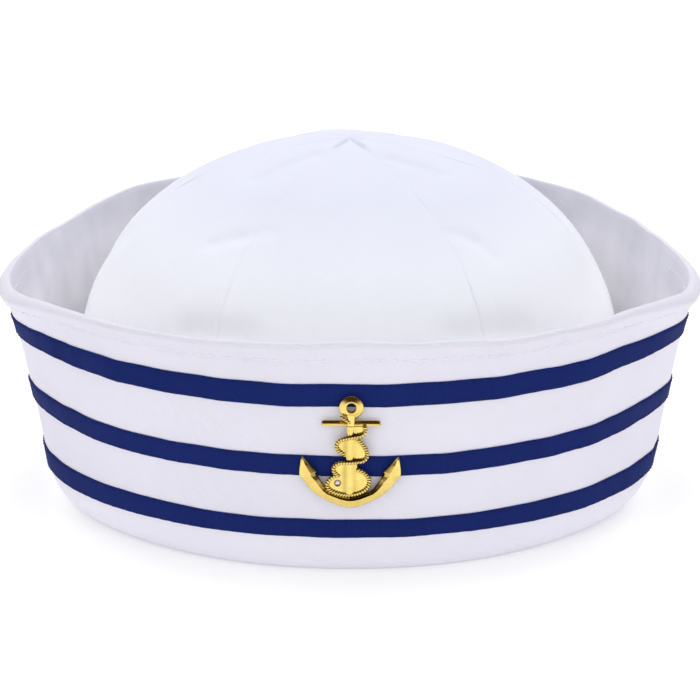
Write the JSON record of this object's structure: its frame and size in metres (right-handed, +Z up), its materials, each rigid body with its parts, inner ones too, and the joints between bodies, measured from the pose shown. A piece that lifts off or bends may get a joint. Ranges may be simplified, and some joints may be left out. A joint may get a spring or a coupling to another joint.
{
  "type": "captain hat",
  "caption": "White cotton captain hat in sailor style: domed gored crown, turned-up brim with a hem and navy stripes, gilt anchor badge at the front.",
  "frame": {"origin": "middle of the bounding box on the surface that the turned-up brim's fold rests on", "axes": "+Z up through the crown, -Y towards the badge at the front, +X to the right of a viewer who faces the badge"},
  "size_m": [0.2184, 0.221, 0.11],
  "materials": {
    "crown_cotton": "plain weave, matte",
    "brim_cotton": "plain weave, matte",
    "navy_tape": "ribbed tape, matte",
    "gilt_badge": "stamped, bright gilt"
  },
  "bodies": {
    "root": {"crown_front": "crown_cotton", "crown_front_right": "crown_cotton", "crown_back_right": "crown_cotton", "crown_back": "crown_cotton", "crown_back_left": "crown_cotton", "crown_front_left": "crown_cotton", "brim": "brim_cotton", "stripe_bottom": "navy_tape", "stripe_middle": "navy_tape", "stripe_top": "navy_tape", "anchor_badge": "gilt_badge"}
  },
  "joints": []
}
